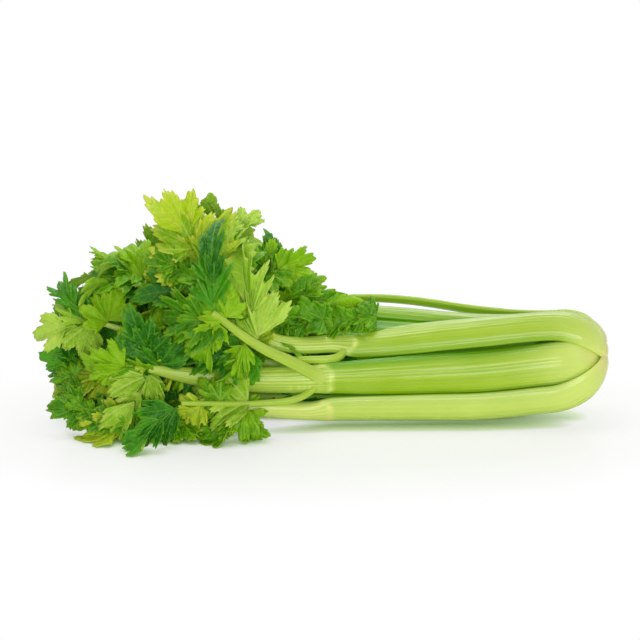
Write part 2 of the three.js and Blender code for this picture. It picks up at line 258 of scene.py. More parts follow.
stalkColours = {
    "stalk": {"deep": (0.12, 0.33, 0.002), "green": (0.385, 0.545, 0.010), "pale": (0.70, 0.81, 0.20),
        "cream": (0.86, 0.80, 0.28), "roughness": 0.22},
    "heartStalk": {"deep": (0.33, 0.52, 0.04), "green": (0.52, 0.68, 0.09), "pale": (0.72, 0.79, 0.24),
        "cream": (0.86, 0.83, 0.42), "roughness": 0.34},
}
stalkShader = {
    "Specular IOR Level": 0.3, "Coat Weight": 0.17, "Coat Roughness": 0.14,
    "Subsurface Weight": 0.25, "Subsurface Radius": (0.7, 1.0, 0.2), "Subsurface Scale": 0.006,
    # a faint painted green glow on every stalk, standing in for light that comes through the flesh
    "Emission Color": (0.10, 0.34, 0.0, 1), "Emission Strength": 0.1}


def stalkSurface(tree, s):
    # green between a deep and a pale tone along its fibre lines, darker in the grooves, with painted shade on
    # the inner side; the pale mask takes it to pale and cream, and the shade mask takes it to the deep tone
    # as painted shade
    uv = newNode(tree, "ShaderNodeUVMap", uv_map="run").outputs[0]
    pale = maskValue(tree, "pale")
    fibres = placeGroup(tree, fibreGroup, {"Vector": uv, "Strands": 30.0, "Length": 0.7})
    strand = rampValue(tree, fibres["Strand"], 0.32, 0.68)
    cloud = rampValue(tree, fibres["Cloud"], 0.3, 0.7)
    shade = plus(tree, times(tree, strand, 0.5), times(tree, maskValue(tree, "groove"), 0.22))
    color = mixColor(tree, times(tree, shade, 0.6, clamp=True), s["green"], s["deep"])
    toPale = plus(tree, times(tree, pale, 1.6), times(tree, cloud, 0.16), clamp=True)
    color = mixColor(tree, toPale, color, s["pale"])
    # painted shade: the inner side, the edges and stalks that lie in shade go to the deep tone
    color = mixColor(tree, maskValue(tree, "depth"), color, s["deep"])
    color = mixColor(tree, rampValue(tree, pale, 0.55, 1.0), color, s["cream"])
    rough = rampValue(tree, fibres["Strand"], 0.3, 0.7, s["roughness"] - 0.06, s["roughness"] + 0.1)
    return newNode(tree, "ShaderNodeBsdfPrincipled", {
        "Base Color": color, "Roughness": rough, "Normal": bumpNormal(tree, 0.35, 0.0006, fibres["Strand"]),
        **stalkShader}).outputs[0]


leafColours = {
    "leafDark": {"deep": (0.018, 0.16, 0.003), "face": (0.10, 0.41, 0.009), "vein": (0.16, 0.48, 0.02),
        "tip": (0.17, 0.48, 0.01), "through": (0.24, 0.66, 0.004), "roughness": 0.36, "glow": 0.2},
    "leafMid": {"deep": (0.06, 0.27, 0.002), "face": (0.17, 0.47, 0.004), "vein": (0.28, 0.58, 0.02),
        "tip": (0.34, 0.60, 0.01), "through": (0.30, 0.74, 0.003), "roughness": 0.4, "glow": 0.22},
    "leafGreen": {"deep": (0.11, 0.37, 0.002), "face": (0.36, 0.67, 0.008), "vein": (0.46, 0.74, 0.03),
        "tip": (0.44, 0.72, 0.012), "through": (0.42, 0.84, 0.004), "roughness": 0.42, "glow": 0.24},
    "leafLight": {"deep": (0.38, 0.66, 0.025), "face": (0.62, 0.86, 0.10), "vein": (0.76, 0.92, 0.20),
        "tip": (0.70, 0.88, 0.12), "through": (0.60, 0.90, 0.02), "roughness": 0.5, "glow": 0.26},
    "leafYellow": {"deep": (0.30, 0.57, 0.005), "face": (0.60, 0.79, 0.02), "vein": (0.80, 0.88, 0.14),
        "tip": (0.88, 0.84, 0.08), "through": (0.70, 0.88, 0.01), "roughness": 0.48, "glow": 0.26},
    "leafUnder": {"deep": (0.34, 0.62, 0.02), "face": (0.58, 0.82, 0.09), "vein": (0.72, 0.88, 0.20),
        "tip": (0.62, 0.82, 0.09), "through": (0.54, 0.86, 0.02), "roughness": 0.58, "glow": 0.26},
}
leafShader = {
    "patch": (60.0, 3.0), "tintShare": 0.3, "patchEdges": (0.34, 0.74),
    "tipShare": 0.6, "veinShare": 0.62, "veinSunk": 0.3, "bump": (0.4, 0.001), "specular": 0.3}


def leafSurface(tree, s):
    # the face colour, deeper in cloudy patches, paler along the veins and at the teeth; light comes through
    h = leafShader
    uv = newNode(tree, "ShaderNodeUVMap", uv_map="blade").outputs[0]
    veins = placeGroup(tree, veinGroup, {"Vector": uv})
    patch = noiseNode(tree, ownPlace(tree), *h["patch"])
    patch = plus(tree, patch, times(tree, maskValue(tree, "tint"), h["tintShare"]))
    color = mixColor(tree, rampValue(tree, patch, *h["patchEdges"]), s["deep"], s["face"])
    nearRim = rampValue(tree, maskValue(tree, "rim"), 0.8, 1.0)
    color = mixColor(tree, times(tree, nearRim, h["tipShare"]), color, s["tip"])
    color = mixColor(tree, times(tree, veins["Vein"], h["veinShare"]), color, s["vein"])
    height = minus(tree, veins["Quilt"], times(tree, veins["Vein"], h["veinSunk"]))
    normal = bumpNormal(tree, *h["bump"], height)
    skin = newNode(tree, "ShaderNodeBsdfPrincipled", {
        "Base Color": color, "Roughness": s["roughness"], "Normal": normal,
        "Specular IOR Level": h["specular"]})
    glowColor = mixColor(tree, times(tree, veins["Vein"], 0.5), s["through"], s["deep"])
    through = newNode(tree, "ShaderNodeBsdfTranslucent", {"Color": glowColor, "Normal": normal})
    return mixShader(tree, s["glow"], skin.outputs[0], through.outputs[0])


# lengths in metres
rootColours = {
    "flesh": (0.86, 0.82, 0.50), "ring": (0.68, 0.68, 0.28), "scar": (0.36, 0.24, 0.10),
    "green": (0.20, 0.46, 0.01), "noiseScale": 1100.0, "wobble": 0.0012, "ringWidth": 0.0016,
    "scarEdges": (0.0085, 0.002), "greenEdges": (-0.03, -0.05), "bump": (0.5, 0.0008),
    "roughness": 0.62}


def rootSurface(tree, s, centre):
    # cut flesh with faint rings round the axis and a dry brownish patch in the middle, green farther in
    place = ownPlace(tree)
    offset = vectorNode(tree, "SUBTRACT", place, centre)
    flat = vectorNode(tree, "MULTIPLY", offset, (0.0, 1.0, 1.0))
    away = vectorNode(tree, "LENGTH", flat, result="Value")
    noise = noiseNode(tree, place, s["noiseScale"], 3.0)
    wobble = plus(tree, away, times(tree, noise, s["wobble"]))
    ring = rampValue(tree, mathNode(tree, "PINGPONG", wobble, s["ringWidth"]), 0.0, s["ringWidth"])
    color = mixColor(tree, times(tree, ring, 0.4), s["flesh"], s["ring"])
    scar = times(tree, rampValue(tree, wobble, *s["scarEdges"]), rampValue(tree, noise, 0.2, 0.7))
    color = mixColor(tree, scar, color, s["scar"])
    inwards = newNode(tree, "ShaderNodeSeparateXYZ", {0: offset}).outputs[0]
    color = mixColor(tree, rampValue(tree, inwards, *s["greenEdges"]), color, s["green"])
    normal = bumpNormal(tree, *s["bump"], noise)
    return newNode(tree, "ShaderNodeBsdfPrincipled", {
        "Base Color": color, "Roughness": s["roughness"], "Normal": normal}).outputs[0]


def newPiece(name, points, faces, uvName, uv, masks, materials):
    # points in millimetres; uv has a row for every corner of every face, a mask a value for every point
    mesh = bpy.data.meshes.new(name)
    mesh.from_pydata((points * mm).tolist(), [], faces)
    mesh.uv_layers.new(name=uvName).data.foreach_set("uv", uv.astype(np.float32).ravel())
    for label, values in masks.items():
        layer = mesh.attributes.new(label, "FLOAT", "POINT")
        layer.data.foreach_set("value", values.astype(np.float32).ravel())
    mesh.polygons.foreach_set("use_smooth", np.ones(len(mesh.polygons), dtype=bool))
    for material in materials:
        mesh.materials.append(material)
    mesh.update()
    piece = bpy.data.objects.new(name, mesh)
    scene.collection.objects.link(piece)
    return piece


def tubePiece(name, points, across, along, masks, material, capEnds=False):
    # rings of points become quads, the last column joined to the first; their uv is (across, along)
    rows, columns = points.shape[:2]
    index = np.arange(rows * columns).reshape(rows, columns)
    right = np.roll(index, -1, axis=1)
    quads = np.stack([index[:-1], right[:-1], right[1:], index[1:]], axis=-1)
    uvFlat = np.stack(np.broadcast_arrays(across[None, :], along[:, None]), axis=-1).reshape(-1, 2)
    uv = uvFlat[quads.reshape(-1)].reshape(-1, 4, 2)
    wrap = (quads[..., 1] % columns == 0).reshape(-1)
    step = uvFlat[1, 0] - uvFlat[0, 0]  # at the seam the uv runs on by a step instead of going back
    uv[wrap, 1, 0] = uv[wrap, 0, 0] + step
    uv[wrap, 2, 0] = uv[wrap, 3, 0] + step
    faces, uv = quads.reshape(-1, 4).tolist(), uv.reshape(-1, 2)
    if capEnds:
        first, last = index[0][::-1], index[-1]
        faces += [first.tolist(), last.tolist()]
        uv = np.concatenate([uv, uvFlat[first], uvFlat[last]])
    masks = {label: np.broadcast_to(values, (rows, columns)) for label, values in masks.items()}
    return newPiece(name, points.reshape(-1, 3), faces, "run", uv, masks, [material])


crownLow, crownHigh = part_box("root_crown")
head = {
    "axisHeight": 43.0,  # of the bundle over the table
    "axisRise": 8.0,  # more at the root
    "riseLength": 115.0,
    "domeLength": 37.0,
    "domeFullness": 2.3,  # 2 rounds the root end as an ellipse, more makes it blunter
    "bundleRadius": 36.0,
    "baseRadius": 9.0,  # the stalks' bases start round this much of the root
    "rootEnd": 223.0,
    "stemTaper": 1.5,
    "leafSpread": 1.15,
    "tableGrip": 5.0,
}
shift = np.array([crownHigh.x / mm - head["rootEnd"], (crownLow.y + crownHigh.y) / 2 / mm, 0.0])


def roundAxis(back, away, turn):
    # a point `back` from the root face, `away` from the axis, turned round it from the front to the top
    h = head
    back, away, turn = np.broadcast_arrays(back, away, np.radians(turn))
    height = h["axisHeight"] + h["axisRise"] * (1 - easeStep(back / h["riseLength"]))
    return np.stack([h["rootEnd"] - back, -away * np.cos(turn), height + away * np.sin(turn)], axis=-1)


def routePoints(points, t):
    # a centripetal Catmull-Rom curve through the points, at the parameters t from 0 to 1
    p = np.asarray(points, float)
    p = np.concatenate([[2 * p[0] - p[1]], p, [2 * p[-1] - p[-2]]])
    spans = len(p) - 3
    along = np.clip(np.asarray(t, float) * spans, 0, spans)
    k = np.minimum(along.astype(int), spans - 1)
    w = (along - k)[:, None]
    gaps = np.sqrt(np.linalg.norm(np.diff(p, axis=0), axis=1))
    g0, g1, g2 = gaps[k][:, None], gaps[k + 1][:, None], gaps[k + 2][:, None]
    p0, p1, p2, p3 = p[k], p[k + 1], p[k + 2], p[k + 3]
    m1 = ((p1 - p0) / g0 - (p2 - p0) / (g0 + g1) + (p2 - p1) / g1) * g1
    m2 = ((p2 - p1) / g1 - (p3 - p1) / (g1 + g2) + (p3 - p2) / g2) * g1
    return p1 + m1 * w + (3 * (p2 - p1) - 2 * m1 - m2) * w ** 2 + (2 * (p1 - p2) + m1 + m2) * w ** 3


def arcLength(at):
    return np.concatenate([[0], np.cumsum(np.linalg.norm(np.diff(at, axis=0), axis=1))])


# edge pair: how far the lower and the upper edge go to deep green, partly greener edges and partly painted
# shade where another stalk or the table is close. The stalk's shade value: painted shade over the whole
# stalk. whiteBase: how far the pale base reaches.
outerStalk = {
    "halfWidth": 15.5, "halfThickness": 4.6, "layer": 1.0, "start": 2.0, "stem": (7.2, 2.6),
    "waist": 0.8, "arch": 0.0, "ribs": 9, "ribHeight": 0.4, "around": 132, "skin": "stalk",
    "paleness": 0.0, "depth": 0.0, "edge": (0.35, 0.35), "whiteBase": 26.0, "marks": 0.0}
heartStalk = {**outerStalk, "halfWidth": 9.0, "halfThickness": 3.2, "layer": 0.48, "start": 32.0,
    "stem": (4.2, 1.8), "ribs": 6, "ribHeight": 0.3, "around": 72, "skin": "heartStalk",
    "edge": (0.3, 0.3)}
# turn: degrees round the axis at the root, the belly and the node. node: where the stalk divides, [x, away].
# rachis: the main stem's route from there.
stalks = {
    "stalk_top_front": {**outerStalk, "turn": (24, 60, 48), "node": (20, 30), "layer": 1.04,
        "stem": (7.6, 2.8), "arch": 6.0, "paleness": 0.05,
        "rachis": [(-30, -30, 67), (-64, -35, 86), (-88, -36, 124)]},
    # paler, partly its own colour and partly painted light from the floor below; its lower edge goes deep
    # green, painted shade where it meets the table
    "stalk_bottom_front": {**outerStalk, "turn": (-8, -45, -43), "node": (1, 43), "layer": 1.17,
        "halfWidth": 18.5, "stem": (8.4, 3), "paleness": 0.42, "edge": (0.8, 0.2),
        "whiteBase": 15, "rachis": [(-58, -44, 19), (-96, -46, 15), (-128, -50, 13)]},
    # its upper edge goes deep green, painted shade under the stalk above
    "stalk_front": {**outerStalk, "turn": (4, 5, -3), "node": (2, 37), "layer": 0.97, "start": 8.0,
        "halfWidth": 18.5, "waist": 0.66, "stem": (11, 3.2), "edge": (0.3, 1.0), "whiteBase": 44.0,
        "marks": 0.3, "ribs": 12, "ribHeight": 0.5,
        "rachis": [(-58, -38, 41), (-100, -46, 46), (-130, -54, 54)]},
    "stalk_arched": {**outerStalk, "turn": (122, 140, 128), "node": (2, 56), "layer": 1.16, "halfWidth": 4.8,
        "arch": 7.0, "halfThickness": 3.0, "stem": (3.6, 2), "depth": -0.35, "edge": (0.1, 0.1),
        "ribs": 5, "rachis": [(-30, 46, 88), (-56, 46, 108), (-76, 42, 134)]},
    # a little painted shade over the whole stalk
    "stalk_top_back": {**outerStalk, "turn": (80, 104, 101), "node": (10, 42), "layer": 0.86, "halfWidth": 15,
        "halfThickness": 5.4, "depth": 0.22,
        "rachis": [(-18, 20, 80), (-36, 14, 96), (-46, 6, 115)]},
    "stalk_back": {**outerStalk, "turn": (160, 168, 170), "node": (6, 42), "layer": 0.97,
        "rachis": [(-48, 54, 50), (-98, 60, 70), (-132, 60, 92)]},
    "stalk_bottom_back": {**outerStalk, "turn": (-150, -145, -142), "node": (0, 45),
        "rachis": [(-50, 50, 21), (-96, 58, 17), (-134, 62, 15)]},
    "stalk_bottom": {**outerStalk, "turn": (-90, -98, -94), "node": (4, 39.2), "layer": 1.12,
        "rachis": [(-50, 4, 13), (-104, 4, 17), (-152, 2, 22)]},
    # painted deep green all over: painted shade on a heart stalk that lies in the dark gap between the top
    # stalks
    "heart_stalk_top": {**heartStalk, "turn": (70, 70, 72), "node": (-10, 37), "layer": 0.86, "halfWidth": 13,
        "depth": 1.0, "skin": "stalk", "rachis": [(-60, -6, 74), (-112, -8, 94), (-142, -10, 114)]},
    "heart_stalk_front": {**heartStalk, "turn": (-15, -15, -10), "node": (-14, 19),
        "rachis": [(-70, -16, 56), (-130, -22, 70), (-178, -22, 84)]},
    "heart_stalk_bottom": {**heartStalk, "turn": (-105, -105, -100), "node": (-12, 26.5), "layer": 0.68,
        "rachis": [(-60, 0, 19), (-116, -8, 36), (-160, -18, 42)]},
    "heart_stalk_back": {**heartStalk, "turn": (165, 165, 165), "node": (-8, 20),
        "rachis": [(-62, 24, 62), (-116, 26, 80), (-158, 22, 98)]},
}
skins = {name: newMaterial(name, stalkSurface, s) for name, s in stalkColours.items()}


def nodePoint(s):
    return roundAxis(head["rootEnd"] - s["node"][0], s["node"][1], s["turn"][2])


def stalkStations(s, domeRows=26, bellyRows=64, stemRows=60):
    # the path and the section's sizes: the dome at the root, the belly along the bundle to the node, the stem
    h = head
    layer = s["layer"] * h["bundleRadius"]
    share = np.linspace(0.02, 1, domeRows) ** 1.7
    rounded = (1 - (1 - share) ** h["domeFullness"]) ** (1 / h["domeFullness"])
    domeEnd = s["start"] + h["domeLength"]
    run = h["rootEnd"] - s["node"][0] - domeEnd
    t = np.linspace(0.03, 0.985, bellyRows)
    ease = easeStep(t)
    dome = [s["start"] + share * h["domeLength"], mixValue(h["baseRadius"], layer, rounded),
        mixValue(s["turn"][0], s["turn"][1], np.sqrt(share)), mixValue(0.4, 1, rounded),
        mixValue(0.6, 1, share), mixValue(0.45, 0.9, share)]
    belly = [domeEnd + run * t, mixValue(layer, s["node"][1], ease) + s["arch"] * np.sin(np.pi * t),
        mixValue(s["turn"][1], s["turn"][2], ease), mixValue(1, s["waist"], t ** 2.5), np.ones_like(t),
        mixValue(0.9, 0.5, t)]
    back, away, turn, wide, thick, bend = np.concatenate([dome, belly], axis=1)
    at = roundAxis(back, away, turn)
    radians = np.radians(turn)
    side = np.stack([0 * turn, np.sin(radians), np.cos(radians)], axis=-1)
    u = np.linspace(0.06, 1, stemRows)
    radius = mixValue(s["stem"][0], s["stem"][1], u ** h["stemTaper"])
    at = np.concatenate([at, routePoints([nodePoint(s), *s["rachis"]], u)])
    side = np.concatenate([side, np.repeat(side[-1:], stemRows, axis=0)])
    halfWidth = np.concatenate([s["halfWidth"] * wide, radius])
    halfThickness = np.concatenate([s["halfThickness"] * thick, 0.8 * radius])
    bend = np.concatenate([bend, 0.3 * (1 - u)])
    part = np.concatenate([-1 + share, t, 1 + u])  # -1..0 dome, 0..1 belly, 1..2 stem
    return at, side, halfWidth, halfThickness, bend, part


def evenStations(at, values, step, softness):
    # the path and its values spaced evenly by arc length, then averaged over a bell of width `softness`
    run = arcLength(at)
    even = np.linspace(0, run[-1], int(run[-1] / step) + 1)
    table = np.column_stack([at, values])
    table = np.column_stack([np.interp(even, run, column) for column in table.T])
    reach = int(3 * softness / step)
    bell = np.exp(-0.5 * (np.arange(-reach, reach + 1) * step / softness) ** 2)
    bell /= bell.sum()
    before, after = 2 * table[:1] - table[reach:0:-1], 2 * table[-1:] - table[-2:-reach - 2:-1]
    padded = np.concatenate([before, table, after])
    soft = np.column_stack([np.convolve(column, bell, mode="valid") for column in padded.T])
    keep = easeStep(even / (3 * softness))[:, None]  # the dome at the root keeps its own shape
    soft = mixValue(table, soft, keep)
    return soft[:, :3], soft[:, 3:], even


def squareAxes(at, side):
    # the path's direction, and side and out square to it
    along = unitRows(np.gradient(at, axis=0))
    side = unitRows(side - along * np.sum(side * along, axis=1, keepdims=True))
    return side, np.cross(side, along)


ribSettings = {
    "step": 2.0, "softness": 5.0,  # millimetres between rows, and that the path is averaged over
    "outerShare": 0.72,  # of the points round the section, on its ribbed outer side
    "nodeAt": 0.985, "nodeLength": 0.022, "nodeWider": 0.02, "nodeThicker": 0.06,
    "sideways": 34, "swayLength": 60, "sway": 0.02, "lumps": 0.18, "lumpLength": 16,
    "lowest": 0.05}


def stalkPiece(name, s, number):
    # an ellipse bent round the bundle by `bend`, with rounded ribs on its outer side, carried along the path
    h = ribSettings
    at, side, halfWidth, halfThickness, bend, part = stalkStations(s)
    values = np.column_stack([side, halfWidth, halfThickness, bend, part])
    at, values, run = evenStations(at, values, h["step"], h["softness"])
    halfWidth, halfThickness, bend, part = values[:, 3:, None].transpose(1, 0, 2)
    side, out = squareAxes(at, values[:, :3])
    outerCount = int(s["around"] * h["outerShare"])
    psi = np.concatenate([np.linspace(0, np.pi, outerCount, endpoint=False),
        np.linspace(np.pi, 2 * np.pi, s["around"] - outerCount, endpoint=False)])
    along = run[:, None]
    across = np.cos(psi)[None, :]
    outside = easeStep(np.sin(psi) / 0.4)[None, :]
    ring = np.exp(-((part - h["nodeAt"]) / h["nodeLength"]) ** 2)  # the swelling at the node
    wave = waveNoise(along / h["sideways"], 0 * along + number, 40 + number)
    halfWidth = halfWidth * (1 + h["nodeWider"] * ring + 0.015 * wave)
    halfThickness = halfThickness * (1 + h["nodeThicker"] * ring)
    hollow = halfWidth / np.maximum(bend, 0.05)
    drift = h["sway"] * np.sin(along / h["swayLength"] + number)
    uneven = 0.05 * np.sin(4.3 * across + number) + 0.03 * np.sin(9.1 * across + 2 * number)
    ridge = np.abs(np.sin(np.pi * (s["ribs"] * (across + drift + uneven) / 2 + 0.25 * number)))
    strong = 0.75 + 0.25 * waveNoise(across * 4 + number, along / 70, 60 + number, 3)
    size = s["ribHeight"] * np.clip(halfWidth / s["halfWidth"], 0, 1) * easeStep((part + 1.02) / 0.7)
    relief = size * strong * (ridge ** 0.55 - 0.75) * outside
    soft = h["lumps"] * waveNoise(along / h["lumpLength"], across * 2.5 + number, 90 + number) * outside
    angle = (halfWidth * across) / hollow
    reach = hollow + halfThickness * np.sin(psi)[None, :] + relief + soft * easeStep((part + 1) / 0.3)
    points = (at[:, None] + out[:, None] * (reach * np.cos(angle) - hollow)[..., None]
        + side[:, None] * (reach * np.sin(angle))[..., None])
    points = points + shift
    points[..., 2] = np.maximum(points[..., 2], h["lowest"])  # pressed flat on the table
    masks = stalkMasks(s, number, along, part, across, outside, ridge, strong)
    return tubePiece(name, points, psi / (2 * np.pi), run / 100, masks, skins[s["skin"]], capEnds=True)


def stalkMasks(s, number, along, part, across, outside, ridge, strong):
    # pale: the root, a bow at the node, the stem's ridges and short marks. groove: darker between the ribs,
    # plus painted shade on the inner side.
    # the shade mask: painted shade on the inner side, where the stalks lie close, and at the two edges, which
    # are partly greener in their own right, plus the stalk's own share of painted shade
    marks = sum(np.exp(-((part - place) / 0.006) ** 2) for place in (1.06, 1.085, 1.105, 1.14))
    marks = marks * np.exp(-((across + 0.35) / 0.16) ** 2) * outside
    bow = part - 0.965 - 0.045 * across ** 2 - 0.006 * np.sin(6 * across + number)
    nodePale = np.exp(-(bow / 0.013) ** 2) * (0.45 + 0.55 * np.sin(5 * across + 2 * number) ** 2)
    rootPale = 0.8 * np.exp(-(along / s["whiteBase"]) ** 1.6) + 0.16 * np.exp(-(along / 70) ** 2)
    stemPale = (0.04 + 0.36 * ridge ** 2) * easeStep((bow + 0.01) / 0.05) * (1 - max(s["depth"], 0))
    pale = 0.6 * nodePale + rootPale * (0.8 + 0.2 * outside) + stemPale + s["paleness"] + s["marks"] * marks
    pastBase = easeStep(along / 60 - 0.35)
    # painted shade on the inner side, where the stalks lie close together; the edges go deep green, partly as
    # greener edges and partly as painted shade
    inner = (1 - outside) * pastBase
    groove = (1 - ridge) ** 1.5 * outside * np.clip(strong, 0, 1) + 0.5 * inner
    edge = np.where(across > 0, s["edge"][1], s["edge"][0]) * easeStep((np.abs(across) - 0.35) / 0.6)
    depth = s["depth"] + 0.5 * inner + edge * pastBase * easeStep((1.03 - part) / 0.08)
    return {"pale": np.clip(pale, 0, 1), "groove": groove, "depth": np.clip(depth, 0, 1)}


def camel(node):
    first, *rest = node.split("_")
    return first + "".join(word.capitalize() for word in rest)


for number, (node, s) in enumerate(stalks.items()):
    piece = stalkPiece(camel(node), s, number)
    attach(piece, "root")
    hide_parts(node)
print("stalks made:", len(stalks))


# profile: (radius, distance back) from the middle of the cut
crownSettings = {
    "profile": [(0, 0), (7, 0.0), (9.4, 0.25), (10.4, 1.2), (14, 9), (19, 28), (15, 46), (3, 61),
        (0, 62)],
    "around": 96, "rows": 120, "lumps": 0.03, "dish": 0.5, "dishRadius": 4.5}


def crownPiece(s):
    # the profile turned round the axis, a little out of round and dished in the middle of the cut
    profile = np.array(s["profile"], float)
    t = np.linspace(0, len(profile) - 1, s["rows"])
    radius, back = [np.interp(t, np.arange(len(profile)), column) for column in profile.T]
    turn = np.linspace(0, 2 * np.pi, s["around"], endpoint=False)
    lumps = 1 + s["lumps"] * np.sin(5 * turn + 1)[None, :] * np.clip(radius / 10, 0, 1)[:, None]
    dish = s["dish"] * np.exp(-(radius / s["dishRadius"]) ** 2) * (back < 1)
    height = head["axisHeight"] + head["axisRise"]
    r = radius[:, None] * lumps
    x = (head["rootEnd"] - back - dish)[:, None] + 0 * r
    points = np.stack([x, -r * np.cos(turn), height + r * np.sin(turn)], axis=-1) + shift
    centre = ((head["rootEnd"] + shift[0]) * mm, shift[1] * mm, height * mm)
    return tubePiece("rootCrown", points[:, ::-1], turn[::-1] / 6.3, back / 60, {},
        newMaterial("rootFlesh", rootSurface, rootColours, centre))


crown = crownPiece(crownSettings)
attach(crown, "root")
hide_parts("root_crown")
print("crown made")


# face: the way the leaflets' upper sides look. leaflets: (where on the stem, aim: degrees from +X towards +Z,
# lean: degrees towards the front, length, tone, what is this leaflet's own)
sprays = {
    "front_upper": {"stalk": "stalk_front", "face": (0.1, -1, 0.35), "radius": (5, 2.6),
        "route": [(-25, -54, 60), (-49, -64, 75), (-80, -76, 102)],
        "leaflets": [(0.62, 103, -4, 78, "light", {"spread": 0.75}),
        (0.74, 250, 8, 43, "green", {"spread": 0.7, "fold": 0.5}),
        (1, 86, 6, 66, "dark", {"spread": 0.5, "fold": 0.5, "sway": 0.18}),
        (0.96, 252, 14, 42, "green", {"spread": 0.65, "fold": 0.6}),
        (0.9, 172, 0, 50, "green", {"skin": "mid"})]},
    "front_lower": {"stalk": "stalk_front", "face": (-0.2, -1, 0.5), "radius": (3, 1.8),
        "route": [(-16, -46, 29), (-50, -56, 27), (-104, -76, 33)],
        "leaflets": [(0.66, 160, 8, 62, "light", {"spread": 0.8}),
        (0.7, 218, 26, 52, "green", {"spread": 0.9}),
        (1, 214, 26, 60, "dark", {"spread": 0.62, "fold": 0.4})]},
    "front_middle": {"stalk": "stalk_front", "face": (-0.4, -1, 0.3),
        "leaflets": [(0.97, 236, 30, 58, "light", {"spread": 0.75, "fold": 0.6}),
        (0.88, 118, 22, 54, "dark"), (1, 176, 14, 52, "green")]},
    "top_front": {"stalk": "stalk_top_front", "face": (-0.2, -0.8, 0.6),
        "leaflets": [(1, 112, 8, 68, "yellow"), (0.92, 86, -16, 62, "light"),
        (0.84, 166, 24, 60, "dark"),
        (0.86, 60, -8, 50, "green", {"skin": "mid"}), (0.42, 0, -28, 42, "green")]},
    "top_side": {"stalk": "stalk_top_front", "face": (-0.2, -1, 0.4), "radius": (3.6, 2),
        "route": [(13, -31, 57), (-8, -36, 56), (-34, -38, 58.5), (-66, -52, 82)],
        "leaflets": [(1, 128, -10, 56, "green"), (0.9, 190, 12, 54, "dark")]},
    "top_back": {"stalk": "stalk_top_back", "face": (0.3, -0.7, 0.7),
        "leaflets": [(1, 16, 0, 40, "green"), (0.96, 84, -20, 36, "dark"),
        (0.62, -12, 28, 66, "green")]},
    "arched": {"stalk": "stalk_arched", "face": (0.1, 0.3, 0.9),
        "leaflets": [(1, 112, -8, 50, "green"), (0.82, -15, -24, 44, "green", {"skin": "mid"}),
        (0.8, 190, -22, 50, "dark"), (0.96, 60, -30, 40, "light")]},
    "bottom_front": {"stalk": "stalk_bottom_front", "face": (0, -0.7, 0.8),
        "leaflets": [(0.42, -33, 46, 40, "green"), (0.78, 226, 52, 46, "green"),
        (1, 186, 22, 60, "yellow")]},
    "heart_top": {"stalk": "heart_stalk_top", "face": (-0.3, -0.3, 0.9),
        "leaflets": [(1, 140, 4, 36, "green", {"skin": "mid"}),
        (0.98, 178, 20, 46, "light", {"skin": "mid"}), (0.86, 138, -34, 52, "dark")]},
    "heart_front": {"stalk": "heart_stalk_front", "face": (-0.5, -0.8, 0.5),
        "leaflets": [(1, 134, 0, 46, "dark", {"spread": 0.6}), (0.97, 186, 18, 48, "light")]},
    "heart_bottom": {"stalk": "heart_stalk_bottom", "face": (-0.8, -0.5, 0.3),
        "leaflets": [(1, 184, 8, 54, "yellow"), (0.9, 216, 20, 48, "green")]},
    "heart_back": {"stalk": "heart_stalk_back", "face": (-0.3, 0.2, 0.9),
        "leaflets": [(1, 158, -10, 44, "light", {"skin": "mid"}), (0.94, 116, -20, 50, "green"),
        (0.9, 204, -24, 48, "green")]},
    "back": {"stalk": "stalk_back", "face": (-0.1, 1, 0.4),
        "leaflets": [(1, 160, -12, 58, "green", {"skin": "mid"}),
        (0.94, 96, -16, 60, "light", {"skin": "mid"}), (0.8, 236, -22, 56, "dark"),
        (0.62, 70, -22, 56, "green")]},
    "bottom_back": {"stalk": "stalk_bottom_back", "face": (0, 0.8, 0.6),
        "leaflets": [(1, 178, -20, 60, "yellow"), (0.8, 215, -56, 46, "green"),
        (0.52, -20, -48, 44, "dark")]},
    "bottom": {"stalk": "stalk_bottom", "face": (-0.5, 0.1, 0.8),
        "leaflets": [(1, 178, 4, 54, "green"), (0.9, 168, -52, 50, "light")]},
}


def sprayStem(s):
    # the route and the end radii of the stem that carries the spray: its side stem, or the stalk's main one
    stalk = stalks[s["stalk"]]
    if "route" in s:
        return [nodePoint(stalk), *s["route"]], s["radius"]
    return [nodePoint(stalk), *stalk["rachis"]], stalk["stem"]


stemSettings = {"rows": 70, "around": 30, "flare": 0.35, "flareEnd": 0.1, "flatness": 0.85, "paleness": 0.12}


def stemPiece(name, route, ends, number):
    # a ribbed round section carried along the side stem's route, wide where it leaves the stalk
    h = stemSettings
    u = np.linspace(0, 1, h["rows"])
    at = routePoints(route, u)
    side, out = squareAxes(at, np.repeat([[0.0, 0.0, 1.0]], len(u), axis=0))
    flare = 1 + h["flare"] * np.exp(-(u / h["flareEnd"]) ** 2)
    radius = mixValue(*ends, u ** head["stemTaper"]) * flare
    psi = np.linspace(0, 2 * np.pi, h["around"], endpoint=False)
    ridge = np.abs(np.sin(3 * psi + number))[None, :]
    r = radius[:, None] * (0.93 + 0.1 * ridge ** 0.6)
    points = (at[:, None] + side[:, None] * (r * np.cos(psi))[..., None]
        + out[:, None] * (h["flatness"] * r * np.sin(psi))[..., None]) + shift
    pale = h["paleness"] + 0.25 * np.exp(-(u / 0.12) ** 2)[:, None]
    return tubePiece(name, points, psi / (2 * np.pi) * 0.4, arcLength(at) / 100,
        {"pale": pale, "groove": (1 - ridge) ** 1.5, "depth": 0.0}, skins["stalk"], capEnds=True)


leafSkins = {name: newMaterial(name, leafSurface, s) for name, s in leafColours.items()}
# a blade's lobes on one side: (place across the fan, length, half-width); the other side mirrors them
leafLobes = [(0.0, 1.0, 0.36), (0.56, 0.86, 0.30), (0.90, 0.60, 0.20)]
